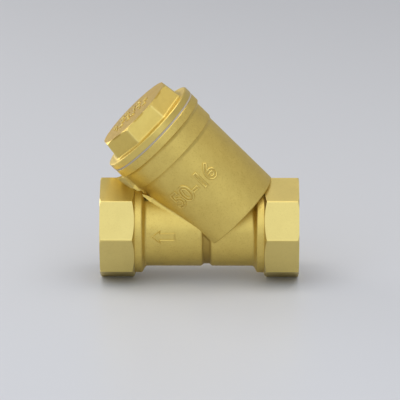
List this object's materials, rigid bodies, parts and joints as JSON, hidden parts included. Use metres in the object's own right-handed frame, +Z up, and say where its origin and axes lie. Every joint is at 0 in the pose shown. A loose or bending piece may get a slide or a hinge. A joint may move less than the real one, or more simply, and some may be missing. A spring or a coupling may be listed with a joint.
{
  "type": "y strainer",
  "caption": "Brass Y strainer with screwed octagon ends, a leg at 45 degrees, a screwed octagon cap and a removable steel screen.",
  "frame": {"origin": "centre of the bounding box's base: half way along the run, under its axis, at the lowest octagon corner", "axes": "+X along the run out of the inlet port, +Z up in the plane of the leg, so the leg leans towards -X"},
  "size_m": [0.14, 0.076, 0.1406],
  "materials": {
    "forged_brass": "blasted forged brass, machined flats",
    "cap_brass": "blasted forged brass",
    "gasket_grey": "matte fibre",
    "screen_steel": "punched stainless sheet",
    "mesh_steel": "woven stainless wire",
    "rim_steel": "rolled stainless strip"
  },
  "bodies": {
    "body": {"strainer_body": "forged_brass"},
    "screen": {"screen_tube": "screen_steel", "mesh_liner": "mesh_steel", "seat_ring": "rim_steel", "cap_ring": "rim_steel"},
    "gasket": {"gasket": "gasket_grey"},
    "cap": {"cap": "cap_brass"}
  },
  "joints": [
    {"name": "draw_out", "type": "slide", "parent": "body", "child": "screen", "axis": [-0.7071, 0, 0.7071], "range_m": [0, 0.095]},
    {"name": "cap_travel", "type": "slide", "parent": "screen", "child": "gasket", "axis": [-0.7071, 0, 0.7071], "range_m": [0, 0.0121]},
    {"name": "cap_turn", "type": "hinge", "parent": "gasket", "child": "cap", "pos_m": [0.037, 0, 0.03626], "axis": [-0.7071, 0, 0.7071], "range_deg": [0, 2160]}
  ],
  "couplings": [
    {"joint": "cap_travel", "follows": "cap_turn", "m_per_rad": 0.00031831}
  ]
}
